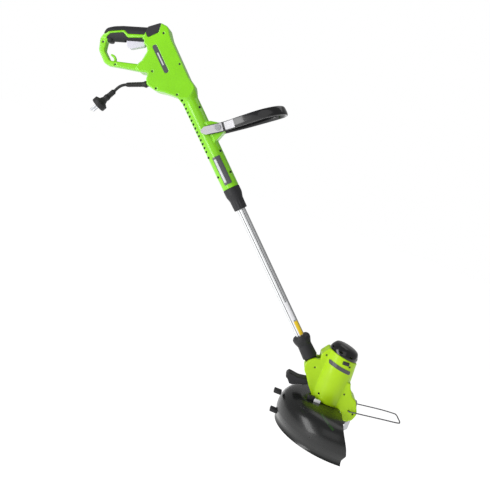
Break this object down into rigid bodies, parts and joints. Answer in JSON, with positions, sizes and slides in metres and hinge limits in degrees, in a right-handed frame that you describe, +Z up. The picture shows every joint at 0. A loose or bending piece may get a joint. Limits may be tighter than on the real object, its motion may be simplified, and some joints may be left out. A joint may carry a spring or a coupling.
{
  "type": "string trimmer",
  "caption": "Corded string trimmer: looped rear handle with trigger, telescopic shaft, tilting motor head with guard, line spool and wire edge guard.",
  "frame": {"origin": "middle of the rear grip, where a hand holds the tool", "axes": "+X forward from the handle to the cutting head, +Y to the far side, +Z up along the motor axis, with the shaft 44 degrees below level"},
  "size_m": [1.0383, 0.3, 0.8253],
  "materials": {
    "green_plastic": "semi-gloss moulded lime green",
    "lime_plastic": "semi-gloss moulded yellow green",
    "soft_black": "soft matte overmould",
    "gloss_black": "polished black",
    "dark_plastic": "fine textured charcoal",
    "black_rubber": "cable jacket",
    "badge_grey": "satin blank badge",
    "pale_plastic": "pale grey",
    "steel": "plain steel",
    "aluminium": "fluted anodised tube",
    "brass": "turned",
    "windings": "lacquered copper and iron",
    "nylon_line": "extruded nylon"
  },
  "bodies": {
    "handle": {"housing_left": "green_plastic", "housing_right": "green_plastic", "grip_top_pad": "soft_black", "grip_under_pad": "soft_black", "front_pad": "soft_black", "badge_strip_left": "badge_grey", "badge_strip_right": "badge_grey", "trigger_pin": "steel", "switch_body": "dark_plastic", "cord_clamp": "dark_plastic", "strain_relief": "black_rubber", "power_cord": "black_rubber", "plug_body": "black_rubber", "plug_pin_left": "steel", "plug_pin_right": "steel", "front_handle_bolt": "steel", "rating_label": "badge_grey", "collet": "pale_plastic"},
    "trigger": {"trigger": "pale_plastic", "trigger_spring": "steel"},
    "switch_plunger": {"switch_plunger": "pale_plastic"},
    "front_handle": {"front_handle": "gloss_black"},
    "lock_collar": {"lock_collar": "dark_plastic"},
    "shaft": {"shaft": "aluminium", "shaft_guide": "dark_plastic", "inner_cable": "black_rubber", "neck": "dark_plastic", "neck_screw": "steel"},
    "head": {"head_left": "lime_plastic", "head_right": "lime_plastic", "pivot_pin": "steel", "head_badge": "badge_grey", "motor_cap": "gloss_black", "pedal_pin": "steel", "lower_bearing": "steel", "upper_bearing": "steel", "stator": "windings", "brush_left": "dark_plastic", "brush_right": "dark_plastic", "guard": "gloss_black", "line_cutter": "steel"},
    "tilt_pedal": {"tilt_pedal": "dark_plastic"},
    "rotor": {"rotor_shaft": "steel", "rotor": "windings", "commutator": "brass", "fan": "dark_plastic", "spool_housing": "gloss_black", "line_spool": "badge_grey", "line_left": "nylon_line", "line_right": "nylon_line"},
    "bump_button": {"bump_button": "dark_plastic", "bump_spring": "steel"},
    "wire_guard": {"wire_guard": "steel"}
  },
  "joints": [
    {"name": "trigger_pull", "type": "hinge", "parent": "handle", "child": "trigger", "pos_m": [0.05618, 0, 0.00362], "axis": [0, 1, 0], "range_deg": [0, 7], "stiffness_Nm_per_rad": 0.6, "springref_deg": -11.46},
    {"name": "switch_press", "type": "slide", "parent": "handle", "child": "switch_plunger", "axis": [-0.2756, 0, 0.9613], "range_m": [0, 0.0046]},
    {"name": "front_handle_tilt", "type": "hinge", "parent": "handle", "child": "front_handle", "pos_m": [0.29445, 0, -0.1356], "axis": [0, 1, 0], "range_deg": [-20, 30]},
    {"name": "collar_twist", "type": "hinge", "parent": "handle", "child": "lock_collar", "pos_m": [0.3946, 0, -0.28236], "axis": [0.7193, 0, -0.6947], "range_deg": [0, 60]},
    {"name": "shaft_slide", "type": "slide", "parent": "handle", "child": "shaft", "axis": [0.7193, 0, -0.6947], "range_m": [-0.09, 0]},
    {"name": "head_tilt", "type": "hinge", "parent": "shaft", "child": "head", "pos_m": [0.73341, 0, -0.60955], "axis": [0, 1, 0], "range_deg": [0, 35]},
    {"name": "pedal_press", "type": "hinge", "parent": "head", "child": "tilt_pedal", "pos_m": [0.73841, 0, -0.64755], "axis": [0, -1, 0], "range_deg": [0, 5], "stiffness_Nm_per_rad": 1, "springref_deg": -11.46},
    {"name": "rotor_spin", "type": "hinge", "parent": "head", "child": "rotor", "pos_m": [0.78741, 0, -0.60955], "axis": [0, 0, 1], "continuous": true},
    {"name": "bump_press", "type": "slide", "parent": "rotor", "child": "bump_button", "axis": [0, 0, 1], "range_m": [0, 0.004], "stiffness_N_per_m": 2000, "springref_m": -0.004},
    {"name": "wire_guard_swing", "type": "hinge", "parent": "head", "child": "wire_guard", "pos_m": [0.84741, 0, -0.67555], "axis": [0, -1, 0], "range_deg": [0, 80]}
  ],
  "couplings": [
    {"joint": "switch_press", "follows": "trigger_pull", "m_per_rad": 0.036}
  ]
}
